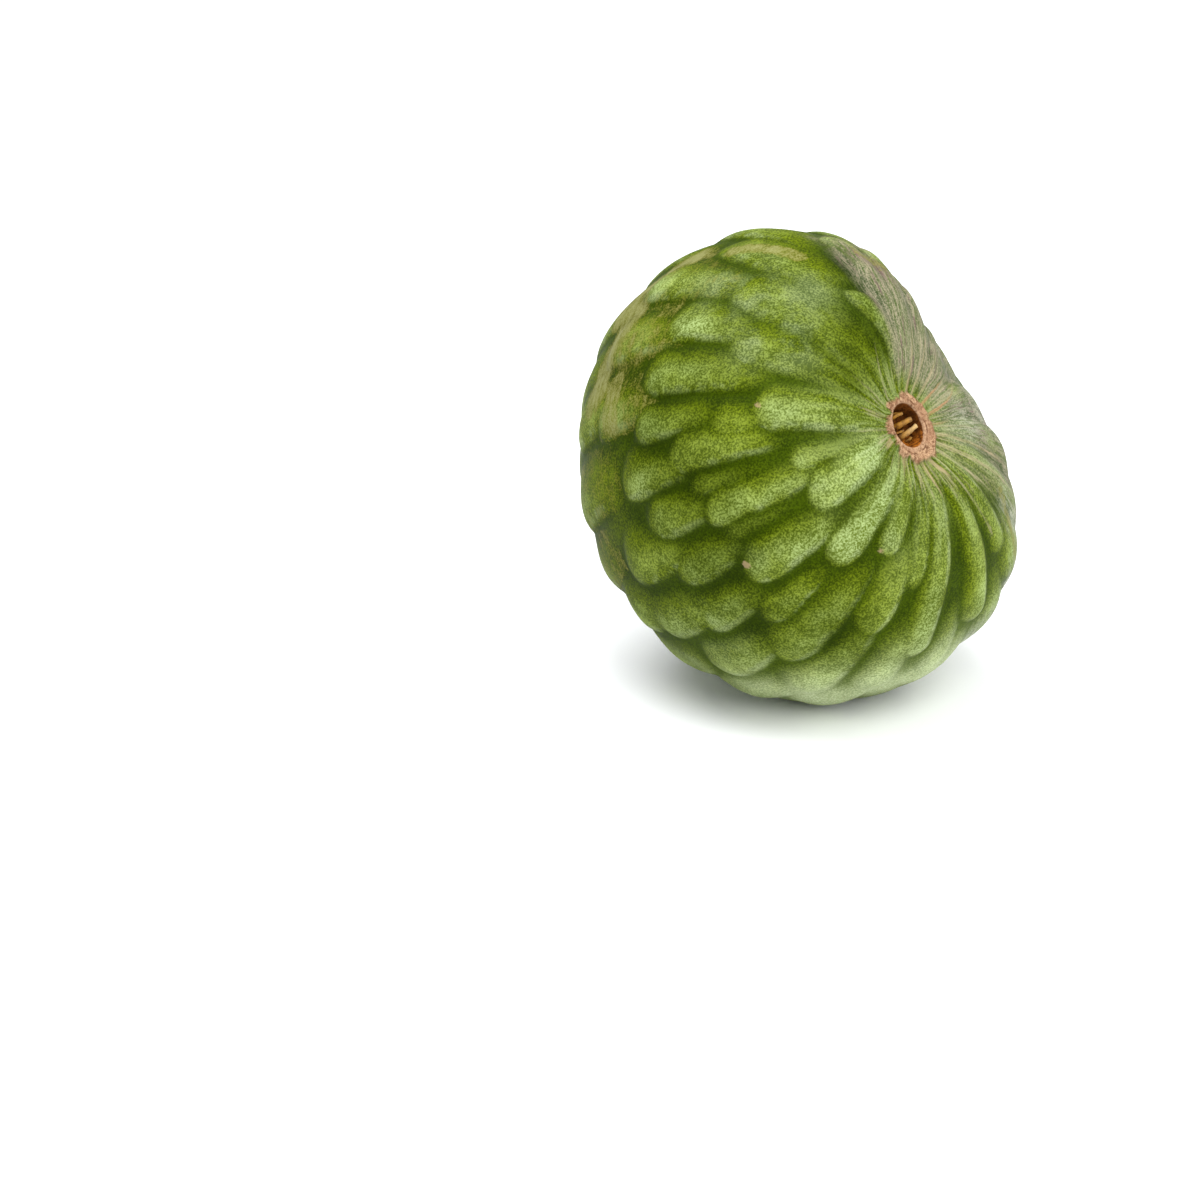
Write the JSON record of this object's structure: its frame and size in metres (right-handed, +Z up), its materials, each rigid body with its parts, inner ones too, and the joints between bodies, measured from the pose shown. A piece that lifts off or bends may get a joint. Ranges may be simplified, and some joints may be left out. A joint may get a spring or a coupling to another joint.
{
  "type": "custard apple",
  "caption": "Whole custard apple lying on its side: a round green fruit with low tongue-shaped scales, a sunken corky stem scar and a small flat spot that it rests on.",
  "frame": {"origin": "middle of the bounding box's base, on the surface that the fruit rests on", "axes": "+Z up with the fruit lying on its side; -Y is the front, where the stem scar shows, turned 35.5 degrees towards +X and 28.5 degrees up"},
  "size_m": [0.0965, 0.098, 0.1013],
  "materials": {
    "fruit_skin": "green waxy skin, soft satin"
  },
  "bodies": {
    "root": {"fruit": "fruit_skin"}
  },
  "joints": []
}
